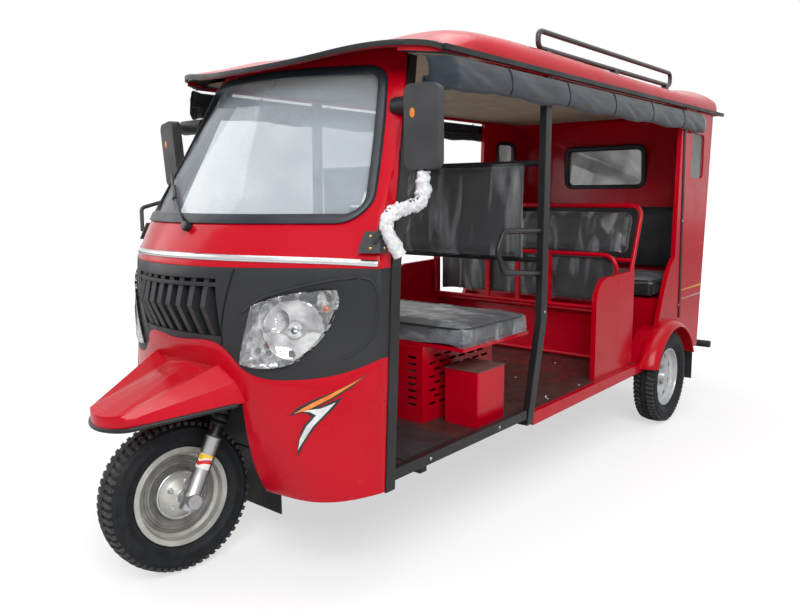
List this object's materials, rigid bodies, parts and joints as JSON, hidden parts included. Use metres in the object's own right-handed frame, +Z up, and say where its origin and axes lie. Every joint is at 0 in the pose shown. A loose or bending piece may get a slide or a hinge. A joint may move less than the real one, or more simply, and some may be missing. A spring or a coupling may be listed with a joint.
{
  "type": "passenger auto rickshaw",
  "caption": "Three-wheeled passenger auto rickshaw: closed nose with a single steered front wheel, open doorways, bench rows under a long roof, steel wheels and roof rails.",
  "frame": {"origin": "on the ground, at the middle of the overall length and width", "axes": "-Y towards the front, +X towards the vehicle's left side, +Z up"},
  "size_m": [1.4916, 3.7369, 1.931],
  "materials": {
    "body_red": "glossy red enamel",
    "band_charcoal": "matt charcoal paint",
    "chassis_black": "satin black paint",
    "post_black": "satin black paint",
    "trim_black": "grained black plastic",
    "seal_rubber": "soft black rubber",
    "flap_rubber": "black rubber sheet",
    "tyre": "new black tyre",
    "window_glass": "clear glass",
    "lamp_lens": "clear moulded lens",
    "lamp_red": "red lens",
    "floor_brown": "dark brown floor covering",
    "headliner_beige": "beige lining",
    "seat_vinyl": "charcoal leatherette",
    "curtain_cloth": "rolled dark canvas",
    "rim_grey": "warm grey paint",
    "rim_silver": "silver paint",
    "fork_silver": "silver and black paint",
    "rack_metal": "dark paint",
    "engine_alloy": "cast alloy"
  },
  "bodies": {
    "vehicle": {"chassis_frame": "chassis_black", "floor_pan": "floor_brown", "sills": "post_black", "wheel_well": "chassis_black", "nose_lower": "body_red", "nose_band": "band_charcoal", "front_cowl": "body_red", "screen_seal": "seal_rubber", "screen_glass": "window_glass", "front_mudguard": "body_red", "dashboard": "trim_black", "headlamps": "lamp_lens", "roof_shell": "body_red", "drip_rails": "trim_black", "headliner": "headliner_beige", "roof_rack": "rack_metal", "front_posts": "post_black", "middle_posts": "post_black", "quarter_trims": "trim_black", "side_panel_left": "body_red", "side_panel_right": "body_red", "rear_wall": "body_red", "rear_glass": "window_glass", "seat_box": "body_red", "seat_tray": "body_red", "side_box": "body_red", "engine_block": "engine_alloy", "driver_cushion": "seat_vinyl", "driver_back": "seat_vinyl", "back_frame": "post_black", "middle_frame": "body_red", "middle_back": "seat_vinyl", "rear_seat_box": "body_red", "rear_cushion": "seat_vinyl", "rear_back": "seat_vinyl", "curtains": "curtain_cloth", "mirrors": "trim_black", "post_lamps": "trim_black", "rear_axle": "chassis_black", "mudflaps": "flap_rubber", "tail_lamps": "lamp_red", "plate_bracket": "trim_black"},
    "steering": {"fork": "fork_silver", "handlebar": "trim_black"},
    "front_wheel": {"front_rim": "rim_grey", "front_tyre": "tyre"},
    "rear_wheel_left": {"rear_rim_left": "rim_silver", "rear_tyre_left": "tyre"},
    "rear_wheel_right": {"rear_rim_right": "rim_silver", "rear_tyre_right": "tyre"},
    "middle_seat": {"middle_seat_frame": "body_red", "middle_cushion": "seat_vinyl"}
  },
  "joints": [
    {"name": "steer", "type": "hinge", "parent": "vehicle", "child": "steering", "pos_m": [0, -1.56086, 0.258], "axis": [0, 0.4695, 0.8829], "range_deg": [-31, 49]},
    {"name": "front_wheel_spin", "type": "hinge", "parent": "steering", "child": "front_wheel", "pos_m": [-0.00547, -1.60012, 0.2578], "axis": [0.9877, -0.1381, 0.0734], "continuous": true},
    {"name": "rear_wheel_left_spin", "type": "hinge", "parent": "vehicle", "child": "rear_wheel_left", "pos_m": [0.659, 1.0435, 0.252], "axis": [1, 0, 0], "continuous": true},
    {"name": "rear_wheel_right_spin", "type": "hinge", "parent": "vehicle", "child": "rear_wheel_right", "pos_m": [-0.659, 1.0435, 0.252], "axis": [1, 0, 0], "continuous": true},
    {"name": "middle_seat_fold", "type": "hinge", "parent": "vehicle", "child": "middle_seat", "pos_m": [0, 0.6055, 0.668], "axis": [1, 0, 0], "range_deg": [0, 90]}
  ]
}
